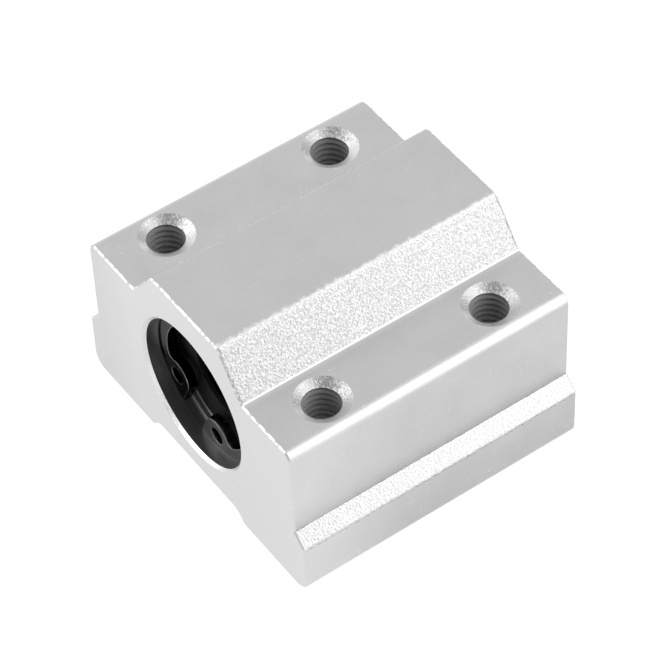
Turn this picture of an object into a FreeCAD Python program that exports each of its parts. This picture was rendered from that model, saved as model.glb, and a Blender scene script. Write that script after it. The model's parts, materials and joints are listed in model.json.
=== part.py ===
import FreeCAD, Part
import math
import os

import Sketcher
from FreeCAD import Placement, Rotation, Vector

# Linear bearing block for an 8 mm shaft, in millimetres.
# X runs across the block, Y along the shaft and Z up. The origin is on the
# underside, midway between the sides and midway between the ends.

SIZES = {
    # housing: the extruded outline of the block
    "block_width": 34.0,
    "block_length": 30.0,
    "block_height": 22.0,
    "shaft_height": 11.0,
    "foot_height": 6.1,
    "body_width": 31.2,
    "step_top_height": 7.4,
    "shoulder_height": 17.6,
    "crown_base_width": 17.0,
    "crown_top_width": 10.2,
    "relief_width": 14.6,
    "relief_top_width": 12.6,
    "relief_depth": 1.1,
    "foot_edge_radius": 1.5,
    "step_edge_radius": 0.5,
    "shoulder_edge_radius": 1.05,
    "crown_edge_radius": 0.9,
    "relief_edge_radius": 1.6,
    "end_edge_chamfer": 0.15,
    # housing: the fixing holes, tapped from above and open to the underside
    "hole_spacing_across": 24.0,
    "hole_spacing_along": 18.0,
    "hole_diameter": 3.4,
    "countersink_diameter": 5.3,
    "countersink_angle": 120.0,
    # housing: the bore and its two ring grooves
    "bore_diameter": 15.0,
    "bore_mouth_chamfer": 0.3,
    "ring_groove_width": 1.1,
    "groove_beyond_bushing": 0.2,
    "ring_groove_diameter": 15.7,
    # retaining rings, sprung into the grooves
    "ring_thickness": 1.0,
    "ring_fit": 0.03,
    "ring_wall_far": 2.0,
    "ring_wall_near": 1.3,
    "ring_gap": 3.1,
    "lug_hole_diameter": 1.7,
    "lug_hole_spacing": 6.6,
    "lug_hole_reach": 6.0,
    "lug_reach": 4.6,
    "lug_root_radius": 0.6,
    "front_ring_turn": 24.0,
    "rear_ring_turn": -24.0,
    # ball bushing: the hardened sleeve
    "bushing_length": 24.0,
    "bushing_fit": 0.01,
    "sleeve_edge_chamfer": 0.3,
    "snap_groove_diameter": 14.3,
    "snap_groove_width": 1.1,
    "snap_groove_span": 17.5,
    "track_length": 13.8,
    "sleeve_relief_diameter": 12.6,
    "seal_seat_diameter": 13.7,
    "seal_seat_depth": 2.0,
    "seat_edge_chamfer": 0.1,
    # ball bushing: the balls and the cage that guides them
    "shaft_diameter": 8.0,
    "ball_diameter": 1.588,
    "ball_pitch": 1.61,
    "balls_in_row": 9,
    "circuit_count": 4,
    "track_offset": 1.3,
    "turn_ball_offset": 0.805,
    "turn_ball_advance": 1.532,
    "return_ball_reach": 5.45,
    "ball_clearance": 0.05,
    "running_clearance": 0.01,
    "lip_opening": 1.5,
    "lip_clearance": 0.02,
    "cage_inner_diameter": 8.4,
    "cage_outer_clearance": 0.06,
    "cage_end_gap": 0.1,
    # ball bushing: the end rings and the seals
    "end_ring_thickness": 0.7,
    "end_ring_opening": 9.4,
    "seal_thickness": 1.0,
    "seal_fit": 0.02,
    "seal_lip_width": 0.4,
    "seal_lip_root": 1.1,
}

doc = FreeCAD.newDocument("linear_bearing_block")
sheet = doc.addObject("Spreadsheet::Sheet", "sizes")
for row, (name, value) in enumerate(SIZES.items(), start=1):
    sheet.set(f"A{row}", name)
    sheet.set(f"B{row}", str(value))
    sheet.setAlias(f"B{row}", name)
doc.recompute()


class Size:
    """A size in millimetres, with the formula that ties it to the sheet."""

    def __init__(self, value, formula=None):
        self.value = float(value)
        self.formula = formula or str(value)

    def __add__(self, other):
        other = as_size(other)
        return Size(self.value + other.value, f"({self.formula} + {other.formula})")

    def __sub__(self, other):
        other = as_size(other)
        return Size(self.value - other.value, f"({self.formula} - {other.formula})")

    def __mul__(self, other):
        other = as_size(other)
        return Size(self.value * other.value, f"({self.formula} * {other.formula})")

    def __truediv__(self, other):
        other = as_size(other)
        return Size(self.value / other.value, f"({self.formula} / {other.formula})")

    def __neg__(self):
        return Size(-self.value, f"(0 - {self.formula})")

    def leg(self, other):
        """The third side of a right triangle that has this size as its long side."""
        root = (self.value**2 - other.value**2) ** 0.5
        return Size(root, f"sqrt({self.formula}^2 - {other.formula}^2)")


def as_size(number):
    return number if isinstance(number, Size) else Size(number)


def size(name):
    return Size(sheet.get(name), f"sizes.{name}")


ZERO = Size(0)
SAME_PLACE = 1e-4


def near(first, second):
    return abs(first - second) < SAME_PLACE


# Sketches


def origin_item(body, role):
    return next(item for item in body.Origin.OriginFeatures if item.Role == role)


def new_sketch(body, name, plane, offset=None):
    """A sketch on one of the body's own planes, moved along its normal by offset."""
    sketch = body.newObject("Sketcher::SketchObject", name)
    sketch.AttachmentSupport = (origin_item(body, plane), [""])
    sketch.MapMode = "FlatFace"
    if offset is not None:
        sketch.setExpression("AttachmentOffset.Base.z", offset.formula)
    return sketch


def tie(sketch, kind, first, second, length):
    """One dimension between two points, or a radius, that follows the sheet."""
    if kind == "Radius":
        index = sketch.addConstraint(Sketcher.Constraint(kind, first[0], length.value))
    else:
        if length.value < 0:
            first, second, length = second, first, -length
        index = sketch.addConstraint(Sketcher.Constraint(kind, *first, *second, length.value))
    sketch.renameConstraint(index, f"size_{index}")
    sketch.setExpression(f"Constraints.size_{index}", length.formula)


def hold_point(sketch, point, across, up):
    """Keeps a point at its place from the sketch's origin."""
    origin = (-1, 1)
    for kind, length, axis in (("DistanceX", across, -2), ("DistanceY", up, -1)):
        if near(length.value, 0):
            sketch.addConstraint(Sketcher.Constraint("PointOnObject", *point, axis))
        else:
            tie(sketch, kind, origin, point, length)


def draw_polygon(sketch, corners):
    """A closed outline of straight sides through the corners."""
    spots = [Vector(across.value, up.value, 0) for across, up in corners]
    sides = []
    for start, end in zip(spots, spots[1:] + spots[:1]):
        sides.append(sketch.addGeometry(Part.LineSegment(start, end)))
    for side, following in zip(sides, sides[1:] + sides[:1]):
        sketch.addConstraint(Sketcher.Constraint("Coincident", side, 2, following, 1))
    for side, (across, up) in zip(sides, corners):
        hold_point(sketch, (side, 1), across, up)


def draw_circle(sketch, across, up, radius):
    centre = Vector(across.value, up.value, 0)
    circle = sketch.addGeometry(Part.Circle(centre, Vector(0, 0, 1), radius.value))
    hold_point(sketch, (circle, 3), across, up)
    tie(sketch, "Radius", (circle,), None, radius)


def draw_slot(sketch, across, half_length, radius):
    """A slot with round ends, upright in the sketch and centred on its middle line."""
    left = across.value - radius.value
    right = across.value + radius.value
    end = half_length.value
    up = Vector(0, 0, 1)
    top_circle = Part.Circle(Vector(across.value, end, 0), up, radius.value)
    low_circle = Part.Circle(Vector(across.value, -end, 0), up, radius.value)
    top = sketch.addGeometry(Part.ArcOfCircle(top_circle, 0, math.pi))
    low = sketch.addGeometry(Part.ArcOfCircle(low_circle, math.pi, 2 * math.pi))
    left_side = sketch.addGeometry(Part.LineSegment(Vector(left, end, 0), Vector(left, -end, 0)))
    right_side = sketch.addGeometry(Part.LineSegment(Vector(right, -end, 0), Vector(right, end, 0)))
    sketch.addConstraint(Sketcher.Constraint("Tangent", top, 2, left_side, 1))
    sketch.addConstraint(Sketcher.Constraint("Tangent", left_side, 2, low, 1))
    sketch.addConstraint(Sketcher.Constraint("Tangent", low, 2, right_side, 1))
    sketch.addConstraint(Sketcher.Constraint("Tangent", right_side, 2, top, 1))
    hold_point(sketch, (top, 3), across, half_length)
    tie(sketch, "DistanceY", (low, 3), (-1, 1), half_length)
    tie(sketch, "Radius", (top,), None, radius)


# Features


def new_body(name):
    body = doc.addObject("PartDesign::Body", name)
    body.Label = name
    return body


def finish(body, feature, **lengths):
    """Ties the feature's lengths to the sheet and makes it the body's newest form."""
    for name, length in lengths.items():
        feature.setExpression(name, length.formula)
    body.Tip = feature
    doc.recompute()
    return feature


def pad(body, sketch, length, midplane=False, reverse=False):
    feature = body.newObject("PartDesign::Pad", f"{sketch.Name}_pad")
    feature.Profile = sketch
    feature.Midplane = midplane
    feature.Reversed = reverse
    return finish(body, feature, Length=length)


def pocket(body, sketch, length=None, midplane=False, reverse=False):
    """Cuts to a length, or through everything on one side where none is given."""
    feature = body.newObject("PartDesign::Pocket", f"{sketch.Name}_cut")
    feature.Profile = sketch
    feature.Midplane = midplane
    feature.Reversed = reverse
    if length is None:
        feature.Type = "ThroughAll"
        return finish(body, feature)
    return finish(body, feature, Length=length)


def turn(body, sketch, kind="Revolution", axis=None):
    """Turns a profile about the body's Y axis, or about the sketch's own centre line."""
    feature = body.newObject(f"PartDesign::{kind}", f"{sketch.Name}_turned")
    feature.Profile = sketch
    feature.ReferenceAxis = axis or (origin_item(body, "Y_Axis"), [""])
    feature.Angle = 360
    return finish(body, feature)


def mirror(body, features):
    """Repeats features on the other side of the body's XZ plane."""
    feature = body.newObject("PartDesign::Mirrored", f"{features[0].Name}_mirrored")
    feature.Originals = features
    feature.MirrorPlane = (origin_item(body, "XZ_Plane"), [""])
    return finish(body, feature)


def repeat_round(body, features, count):
    """Repeats features evenly round the body's Y axis."""
    feature = body.newObject("PartDesign::PolarPattern", f"{features[0].Name}_round")
    feature.Originals = features
    feature.Axis = (origin_item(body, "Y_Axis"), [""])
    feature.Angle = 360
    return finish(body, feature, Occurrences=count)


def edges_where(shape, test):
    return [f"Edge{number}" for number, edge in enumerate(shape.Edges, start=1) if test(edge)]


def dress(body, kind, wanted, **lengths):
    """Rounds or chamfers the edges of the newest form that pass a test."""
    base = body.Tip
    feature = body.newObject(f"PartDesign::{kind}", f"{body.Name}_{kind.lower()}")
    feature.Base = (base, edges_where(base.Shape, wanted))
    return finish(body, feature, **lengths)


def lies_along_y(edge, across, up):
    """True for an edge parallel to Y that stands at one place of the outline, on either side."""
    ends = [vertex.Point for vertex in edge.Vertexes]
    if len(ends) < 2 or near(ends[0].y, ends[1].y):
        return False
    return all(near(abs(end.x), across) and near(end.z, up) for end in ends)


def lies_on_end(edge, end):
    """True for an edge in the plane at either end of a piece that is centred along Y."""
    box = edge.BoundBox
    return near(box.YLength, 0) and near(abs(box.YMin), end)


def is_round(edge, radius):
    return hasattr(edge.Curve, "Radius") and near(edge.Curve.Radius, radius)


# Housing


def make_housing():
    """One length of aluminium extrusion, cut off square, bored, grooved and drilled."""
    body = new_body("housing")
    half_width = size("block_width") / 2
    half_body = size("body_width") / 2
    half_crown_base = size("crown_base_width") / 2
    half_crown_top = size("crown_top_width") / 2
    half_relief = size("relief_width") / 2
    half_relief_top = size("relief_top_width") / 2
    half_length = size("block_length") / 2
    right = [
        (half_relief_top, size("relief_depth")),
        (half_relief, ZERO),
        (half_width, ZERO),
        (half_width, size("foot_height")),
        (half_body, size("step_top_height")),
        (half_body, size("shoulder_height")),
        (half_crown_base, size("shoulder_height")),
        (half_crown_top, size("block_height")),
    ]
    left = [(-across, up) for across, up in reversed(right)]
    outline = new_sketch(body, "outline", "XZ_Plane")
    draw_polygon(outline, right + left)
    pad(body, outline, size("block_length"), midplane=True)

    rounded = [
        (half_relief_top, size("relief_depth"), size("relief_edge_radius")),
        (half_width, ZERO, size("foot_edge_radius")),
        (half_width, size("foot_height"), size("step_edge_radius")),
        (half_body, size("shoulder_height"), size("shoulder_edge_radius")),
        (half_crown_top, size("block_height"), size("crown_edge_radius")),
    ]
    for across, up, radius in rounded:
        dress(body, "Fillet", lambda edge: lies_along_y(edge, across.value, up.value), Radius=radius)
    end = half_length.value
    dress(body, "Chamfer", lambda edge: lies_on_end(edge, end), Size=size("end_edge_chamfer"))

    bore_radius = size("bore_diameter") / 2
    bore = new_sketch(body, "bore", "XZ_Plane")
    draw_circle(bore, ZERO, size("shaft_height"), bore_radius)
    pocket(body, bore, size("block_length") * 2, midplane=True)
    mouth = bore_radius.value
    dress(body, "Chamfer", lambda edge: is_bore_mouth(edge, mouth, end), Size=size("bore_mouth_chamfer"))
    cut_ring_grooves(body)
    drill_fixing_holes(body)
    return body


def is_bore_mouth(edge, radius, end):
    return is_round(edge, radius) and lies_on_end(edge, end)


def ring_groove_reach():
    """Distance from the middle of the block to the groove wall that the retaining ring bears on."""
    return size("bushing_length") / 2 + size("groove_beyond_bushing") + size("ring_groove_width")


def cut_ring_grooves(body):
    """A square groove near each end of the bore, just clear of the bushing, for the retaining ring."""
    groove_front = -ring_groove_reach()
    groove_back = groove_front + size("ring_groove_width")
    inner = size("shaft_height") + size("bore_diameter") / 4
    outer = size("shaft_height") + size("ring_groove_diameter") / 2
    groove = new_sketch(body, "ring_groove", "YZ_Plane")
    corners = [(groove_front, inner), (groove_back, inner), (groove_back, outer), (groove_front, outer)]
    draw_polygon(groove, corners)
    level = size("shaft_height").value
    centre_line = Part.LineSegment(Vector(groove_front.value, level, 0), Vector(groove_back.value, level, 0))
    line = groove.addGeometry(centre_line, True)
    hold_point(groove, (line, 1), groove_front, size("shaft_height"))
    hold_point(groove, (line, 2), groove_back, size("shaft_height"))
    cut = turn(body, groove, "Groove", (groove, ["Axis0"]))
    mirror(body, [cut])


def drill_fixing_holes(body):
    """Four holes from the shoulders to the underside, with the tapping countersink on top."""
    across = size("hole_spacing_across") / 2
    along = size("hole_spacing_along") / 2
    centres = new_sketch(body, "hole_centres", "XY_Plane", size("shoulder_height"))
    for side in (across, -across):
        for end in (along, -along):
            draw_circle(centres, side, end, size("hole_diameter") / 2)
    doc.recompute()
    holes = body.newObject("PartDesign::Hole", "fixing_holes")
    holes.Profile = centres
    doc.recompute()
    holes.DepthType = "ThroughAll"
    holes.HoleCutType = "Countersink"
    holes.HoleCutCustomValues = True
    finish(
        body,
        holes,
        Diameter=size("hole_diameter"),
        HoleCutDiameter=size("countersink_diameter"),
        HoleCutCountersinkAngle=size("countersink_angle"),
    )


# Retaining rings


def make_retaining_ring(name, turn_angle, front):
    """A spring steel ring for a bore, with two lugs that have holes for pliers.

    It is drawn about its own axis with its gap downwards, then turned and moved into its groove.
    The wall is widest opposite the gap.
    """
    body = new_body(name)
    outer = size("ring_groove_diameter") / 2 - size("ring_fit")
    far = outer - size("ring_wall_far")
    close = outer - size("ring_wall_near")
    ring = new_sketch(body, f"{name}_ring", "XZ_Plane")
    draw_circle(ring, ZERO, ZERO, outer)
    draw_circle(ring, ZERO, (far - close) / 2, (far + close) / 2)
    pad(body, ring, size("ring_thickness"), midplane=True)

    hole_across = size("lug_hole_spacing") / 2
    hole_down = size("lug_hole_reach").leg(hole_across)
    lug_radius = outer - size("lug_hole_reach")
    lugs = new_sketch(body, f"{name}_lugs", "XZ_Plane")
    draw_circle(lugs, hole_across, -hole_down, lug_radius)
    draw_circle(lugs, -hole_across, -hole_down, lug_radius)
    pad(body, lugs, size("ring_thickness"), midplane=True)
    bridge_low = outer.leg(hole_across) - size("ring_fit")
    bridge = new_sketch(body, f"{name}_lug_ends", "XZ_Plane")
    draw_polygon(
        bridge,
        [
            (-hole_across, -bridge_low),
            (hole_across, -bridge_low),
            (hole_across, -size("lug_reach")),
            (-hole_across, -size("lug_reach")),
        ],
    )
    pad(body, bridge, size("ring_thickness"), midplane=True)

    half_gap = size("ring_gap") / 2
    gap = new_sketch(body, f"{name}_gap", "XZ_Plane")
    below = -outer * 2
    above = -lug_radius
    draw_polygon(gap, [(-half_gap, below), (half_gap, below), (half_gap, above), (-half_gap, above)])
    pocket(body, gap, size("ring_thickness") * 2, midplane=True)
    lug = (hole_across.value, hole_down.value)
    dress(body, "Fillet", lambda edge: is_lug_root(edge, *lug), Radius=size("lug_root_radius"))
    holes = new_sketch(body, f"{name}_lug_holes", "XZ_Plane")
    draw_circle(holes, hole_across, -hole_down, size("lug_hole_diameter") / 2)
    draw_circle(holes, -hole_across, -hole_down, size("lug_hole_diameter") / 2)
    pocket(body, holes, size("ring_thickness") * 2, midplane=True)

    shift = ring_groove_reach() - size("ring_thickness") / 2
    place_on_shaft(body, -shift if front else shift, turn_angle)
    return body


def is_lug_root(edge, hole_across, hole_down):
    """True for the inside corner where a lug's round end meets the ring, still in the ring's own frame."""
    ends = [vertex.Point for vertex in edge.Vertexes]
    if len(ends) < 2 or near(ends[0].y, ends[1].y):
        return False
    return all(abs(end.x) > hole_across and end.z < -hole_down / 2 for end in ends)


def place_on_shaft(body, along, angle=None):
    """Puts a body that is drawn about its own Y axis on the shaft's axis."""
    if angle is not None:
        body.Placement = Placement(Vector(0, 0, 0), Rotation(Vector(0, 1, 0), angle.value))
        body.setExpression("Placement.Rotation.Angle", angle.formula)
    body.setExpression("Placement.Base.y", along.formula)
    body.setExpression("Placement.Base.z", size("shaft_height").formula)
    doc.recompute()


# Ball bushing


def land_radius():
    """Where the loaded balls run inside the sleeve."""
    return size("shaft_diameter") / 2 + size("ball_diameter") + size("running_clearance")


def seat_inner_end():
    """Distance from the middle of the bushing to the shoulder that the end ring rests on."""
    return size("bushing_length") / 2 - size("seal_seat_depth")


def make_sleeve():
    """The hardened steel sleeve: snap ring grooves outside, ball lands and seal seats inside."""
    body = new_body("bearing_sleeve")
    end = size("bushing_length") / 2
    groove_out = size("snap_groove_span") / 2
    groove_in = groove_out - size("snap_groove_width")
    seat = seat_inner_end()
    track = size("track_length") / 2
    outer = size("bore_diameter") / 2 - size("bushing_fit")
    groove = size("snap_groove_diameter") / 2
    seat_radius = size("seal_seat_diameter") / 2
    relief = size("sleeve_relief_diameter") / 2
    rear_half = [
        (groove_in, outer),
        (groove_in, groove),
        (groove_out, groove),
        (groove_out, outer),
        (end, outer),
        (end, seat_radius),
        (seat, seat_radius),
        (seat, relief),
        (track, relief),
        (track, land_radius()),
    ]
    front_half = [(-along, radius) for along, radius in reversed(rear_half)]
    profile = new_sketch(body, "sleeve_profile", "YZ_Plane")
    draw_polygon(profile, rear_half + front_half)
    turn(body, profile)
    outer_rim = (outer.value, end.value)
    seat_rim = (seat_radius.value, end.value)
    dress(body, "Chamfer", lambda edge: is_rim(edge, *outer_rim), Size=size("sleeve_edge_chamfer"))
    dress(body, "Chamfer", lambda edge: is_rim(edge, *seat_rim), Size=size("seat_edge_chamfer"))

    flute = new_sketch(body, "return_flute", "XZ_Plane")
    draw_circle(flute, size("track_offset"), return_height(), channel_radius())
    cut = pocket(body, flute, seat * 2, midplane=True)
    repeat_round(body, [cut], size("circuit_count"))
    place_on_shaft(body, ZERO)
    return body


def is_rim(edge, radius, end):
    return is_round(edge, radius) and near(abs(edge.Curve.Center.y), end)


# Each ball circuit is a flat loop that looks at the shaft. Its loaded row runs on one side of the
# loop's middle line and its return row on the other, further from the shaft.


def load_height():
    """Height of the loaded balls above the shaft's axis, square to the loop."""
    reach = (size("shaft_diameter") + size("ball_diameter")) / 2
    return reach.leg(size("track_offset"))


def return_height():
    return size("return_ball_reach").leg(size("track_offset"))


def channel_radius():
    return size("ball_diameter") / 2 + size("ball_clearance")


def row_half_length():
    return (size("balls_in_row") - 1) * size("ball_pitch") / 2


def make_cage():
    """The moulded cage, with a loop channel for each circuit and a slot where its balls reach the shaft."""
    body = new_body("ball_cage")
    outer = land_radius() - size("cage_outer_clearance")
    tube = new_sketch(body, "cage_tube", "XZ_Plane")
    draw_circle(tube, ZERO, ZERO, outer)
    draw_circle(tube, ZERO, ZERO, size("cage_inner_diameter") / 2)
    pad(body, tube, (seat_inner_end() - size("cage_end_gap")) * 2, midplane=True)

    offset = size("track_offset")
    turn_rise = offset.leg(size("turn_ball_offset"))
    loop_half = row_half_length() + size("turn_ball_advance") - turn_rise
    loop = new_sketch(body, "loop_channel", "XY_Plane", return_height() - channel_radius())
    draw_slot(loop, ZERO, loop_half, offset + channel_radius())
    draw_slot(loop, ZERO, loop_half, offset - channel_radius())
    loop_cut = pocket(body, loop, reverse=True)

    half_lip = size("lip_opening") / 2
    lip_drop = (size("ball_diameter") / 2 + size("lip_clearance")).leg(half_lip)
    row = new_sketch(body, "load_channel", "XY_Plane", load_height() - lip_drop)
    draw_slot(row, -offset, row_half_length(), channel_radius())
    row_cut = pocket(body, row, reverse=True)

    slot = new_sketch(body, "shaft_slot", "XY_Plane")
    draw_slot(slot, -offset, row_half_length(), half_lip)
    slot_cut = pocket(body, slot, reverse=True)
    repeat_round(body, [loop_cut, row_cut, slot_cut], size("circuit_count"))
    place_on_shaft(body, ZERO)
    return body


def ball_places():
    """Centres of one circuit's balls, in the loop's own frame, grouped by what they are doing."""
    offset = size("track_offset").value
    pitch = size("ball_pitch").value
    count = int(size("balls_in_row").value)
    half_row = row_half_length().value
    low = load_height().value
    high = return_height().value
    row = [number * pitch - half_row for number in range(count)]
    turn_end = half_row + size("turn_ball_advance").value
    turn_side = size("turn_ball_offset").value
    return {
        "load": [Vector(-offset, along, low) for along in row],
        "return": [Vector(offset, along, high) for along in row],
        "turn": [
            Vector(side, end, high) for side in (-turn_side, turn_side) for end in (-turn_end, turn_end)
        ],
    }


def make_ball(diameter, spin, place):
    """A ball as a cube whose edges are cut back until every corner lies on the ball's surface.

    The cuts leave 26 flat faces with sides of one length.
    """
    side = diameter / math.sqrt(5 + 2 * math.sqrt(2))
    width = side * (1 + math.sqrt(2))
    cube = Part.makeBox(width, width, width, Vector(-width / 2, -width / 2, -width / 2))
    ball = cube.makeChamfer((width - side) / 2, cube.Edges)
    ball.Placement = Placement(spin.multVec(place), spin)
    return ball


def make_balls():
    """One object for the loaded, returning and turning balls of each circuit."""
    diameter = size("ball_diameter").value
    circuits = int(size("circuit_count").value)
    groups = []
    for number in range(circuits):
        spin = Rotation(Vector(0, 1, 0), 360 * number / circuits)
        for duty, places in ball_places().items():
            group = doc.addObject("Part::Feature", f"{duty}_balls_{number + 1}")
            group.Label = group.Name
            group.Shape = Part.Compound([make_ball(diameter, spin, place) for place in places])
            group.Placement = Placement(Vector(0, 0, size("shaft_height").value), Rotation())
            groups.append(group)
    return groups


def make_end_ring(name, front):
    """A flat steel ring, pressed in against the seat's shoulder, that holds the cage in the sleeve."""
    body = new_body(name)
    ring = new_sketch(body, f"{name}_outline", "XZ_Plane")
    draw_circle(ring, ZERO, ZERO, size("seal_seat_diameter") / 2 - size("seal_fit"))
    draw_circle(ring, ZERO, ZERO, size("end_ring_opening") / 2)
    pad(body, ring, size("end_ring_thickness"), midplane=True)
    shift = seat_inner_end() + size("end_ring_thickness") / 2
    place_on_shaft(body, -shift if front else shift)
    return body


def make_seal(name, front):
    """A rubber wiper: a disc that thins towards the lip that touches the shaft."""
    body = new_body(name)
    outer = size("seal_seat_diameter") / 2 - size("seal_fit")
    lip = size("shaft_diameter") / 2
    root = lip + size("seal_lip_root")
    face = size("seal_thickness")
    corners = [
        (ZERO, root),
        (face - size("seal_lip_width"), lip),
        (face, lip),
        (face, outer),
        (ZERO, outer),
    ]
    if front:
        corners = [(-along, radius) for along, radius in corners]
    profile = new_sketch(body, f"{name}_profile", "YZ_Plane")
    draw_polygon(profile, corners)
    turn(body, profile)
    shift = seat_inner_end() + size("end_ring_thickness")
    place_on_shaft(body, -shift if front else shift)
    return body


parts = [
    make_housing(),
    make_retaining_ring("front_retaining_ring", size("front_ring_turn"), True),
    make_retaining_ring("rear_retaining_ring", size("rear_ring_turn"), False),
    make_sleeve(),
    make_cage(),
    make_end_ring("front_end_ring", True),
    make_end_ring("rear_end_ring", False),
    make_seal("front_seal", True),
    make_seal("rear_seal", False),
    *make_balls(),
]
doc.recompute()

for item in doc.Objects:
    if "Invalid" in item.State or "Error" in item.State:
        raise RuntimeError(f"{item.Name} failed: {item.State}")

os.makedirs("parts", exist_ok=True)
for part in parts:
    shape = part.Shape
    if shape.isNull() or not shape.isValid():
        raise RuntimeError(f"{part.Label} has no valid shape")
    shape.exportStep(f"parts/{part.Label}.step")
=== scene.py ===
import json
import math
from types import SimpleNamespace

import bpy
from bpy.props import FloatProperty, FloatVectorProperty, IntProperty, PointerProperty
from mathutils import Matrix, Vector

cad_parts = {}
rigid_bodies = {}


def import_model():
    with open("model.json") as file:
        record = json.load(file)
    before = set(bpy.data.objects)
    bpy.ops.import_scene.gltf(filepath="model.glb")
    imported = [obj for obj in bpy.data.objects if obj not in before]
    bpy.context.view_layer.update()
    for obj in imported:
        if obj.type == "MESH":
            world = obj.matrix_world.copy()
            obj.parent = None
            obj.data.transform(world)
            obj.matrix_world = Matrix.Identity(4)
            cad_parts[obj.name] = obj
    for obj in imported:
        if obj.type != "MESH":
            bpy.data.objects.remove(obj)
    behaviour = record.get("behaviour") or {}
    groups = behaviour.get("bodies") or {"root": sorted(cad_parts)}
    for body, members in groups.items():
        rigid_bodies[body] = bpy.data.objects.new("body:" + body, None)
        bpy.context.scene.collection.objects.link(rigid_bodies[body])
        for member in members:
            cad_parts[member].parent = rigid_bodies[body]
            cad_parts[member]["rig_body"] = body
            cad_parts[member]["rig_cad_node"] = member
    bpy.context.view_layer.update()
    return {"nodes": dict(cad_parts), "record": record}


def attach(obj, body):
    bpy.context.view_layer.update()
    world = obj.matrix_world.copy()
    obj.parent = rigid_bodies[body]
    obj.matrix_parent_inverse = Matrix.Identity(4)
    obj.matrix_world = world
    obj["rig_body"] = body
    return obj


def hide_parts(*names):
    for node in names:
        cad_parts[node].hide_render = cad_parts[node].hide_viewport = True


bl_info = {
    "name": "Linear Bearing Block",
    "version": (1, 0, 0),
    "blender": (4, 5, 0),
    "location": "View3D > Sidebar > Bearing Block",
    "description": "Dresses the packed linear bearing block with its finishes, a floor, lamps and a camera",
    "category": "Object",
}

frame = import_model()

MM = 0.001
WELD = 0.0005 * MM
MOUNTS = {mount["name"]: mount for mount in frame["record"]["mounts"]}
HOLE_PLAN = MOUNTS["fixing_holes"]["dims"]
HOLE_ACROSS = HOLE_PLAN["spacing_x_mm"] / 2 * MM
HOLE_ALONG = HOLE_PLAN["spacing_y_mm"] / 2 * MM
SHAFT_HEIGHT = MOUNTS["shaft_bore"]["pos_m"][2]
SHOULDER_HEIGHT = 17.6 * MM
COUNTERSINK_BOTTOM = 17.06 * MM
BALL_NODES = [name for name in frame["nodes"] if "_balls_" in name]
# Middle of the painted shade round one of the front ring's lugs
SHADED_LUG = (-5.05 * MM, -13.3 * MM, 7.77 * MM)


def linear_colour(hex_code):
    """An sRGB hex colour as linear red, green and blue."""
    parts = [int(hex_code[start:start + 2], 16) / 255 for start in (1, 3, 5)]
    return tuple(part / 12.92 if part <= 0.04045 else ((part + 0.055) / 1.055) ** 2.4 for part in parts)


def colour_value(name, description, hex_code):
    """A colour that a user would change."""
    return FloatVectorProperty(
        name=name,
        description=description,
        subtype="COLOR",
        default=linear_colour(hex_code),
    )


def length_value(name, description, length):
    """A length that a user would change."""
    return FloatProperty(name=name, description=description, unit="LENGTH", default=length)


def angle_value(name, description, degrees):
    """An angle that a user would change."""
    return FloatProperty(name=name, description=description, subtype="ANGLE", default=math.radians(degrees))


# Values that a user would change


class BearingHousingValues(bpy.types.PropertyGroup):
    colour: colour_value(
        "Aluminium", "Colour of the extruded faces under their clear anodising", "#D2D2D2"
    )
    # Also the colour of the painted shade on the side walls towards the back and on the feet, and of the
    # ends' darker part towards the left wall
    film_and_shade_colour: colour_value(
        "Thick anodising", "Colour of the extruded faces where their anodising is thickest", "#A8A8A8"
    )
    nick_colour: colour_value(
        "Nicked edges", "Colour of the nicks in the edges of the two ends", "#A0A0A0"
    )
    sawn_colour: colour_value(
        "Sawn ends", "Colour of the two sawn and milled ends", "#D4D4D4"
    )
    # Also the colour of painted highlights: the crown's right edge, the right shoulder, the slopes' feet, the
    # bore mouths' lower left and the countersinks' front-facing facets
    bright_metal_and_highlight_colour: colour_value(
        "Bright metal", "Colour of the specks, broken edges and facets that shine", "#F6F6F6"
    )
    grain_colour: colour_value(
        "Grains", "Colour of the grains on the crown's slopes and the side bands", "#D6D6D6"
    )
    pit_colour: colour_value(
        "Pits", "Colour of the pits between the grains", "#B2B2B2"
    )
    facet_colour: colour_value(
        "Dull facets", "Colour of the dull facets in the countersinks", "#BABABA"
    )
    # Also painted light: the holes are painted lighter further down, and each countersink has a painted
    # highlight on its right and front
    bare_and_lit_colour: colour_value(
        "Clean cuts", "Colour of the metal deep in the holes and where a countersink cut cleanly", "#ECECEC"
    )
    # Painted darker near the holes' mouths than further down, which evens out the holes' own shading
    hole_mouth_colour: colour_value(
        "Cutting oil", "Colour of the oily threads near the mouths of the fixing holes", "#AEAEAE"
    )
    # Dirt, and painted shade in the crease above each side band and along the slopes' ends
    dirt_and_shade_colour: colour_value(
        "Dirt", "Colour of the dirt along the side bands and at the slopes' ends", "#3F3F3F"
    )
    # Painted shade: on the threads' upward flanks, and along the bore's groove edges
    painted_shade_colour: colour_value(
        "Black oil", "Colour of the old oil on the threads and at the bore's grooves", "#272727"
    )
    grain_size: length_value(
        "Grain size", "Width of a grain on the crown's slopes and the side bands", 0.2 * MM
    )
    speck_size: length_value(
        "Speck size", "Grain of the scatter whose peaks are bright specks", 0.38 * MM
    )
    patch_size: length_value(
        "Patch size", "Width of the patches in which edges, stains and dirt come and go", 0.5 * MM
    )
    thread_pitch: length_value(
        "Thread pitch", "Height of one turn of the M4 threads", 0.7 * MM
    )
    thread_diameter: length_value(
        "Thread diameter", "Diameter at the bottom of the threads' grooves", 4.0 * MM
    )
    thread_depth: length_value(
        "Thread depth", "How far below the shoulders the threads end", 8.0 * MM
    )
    thread_sides: IntProperty(
        name="Thread sides",
        description="Number of flats in one turn of a thread",
        default=36,
    )


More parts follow.
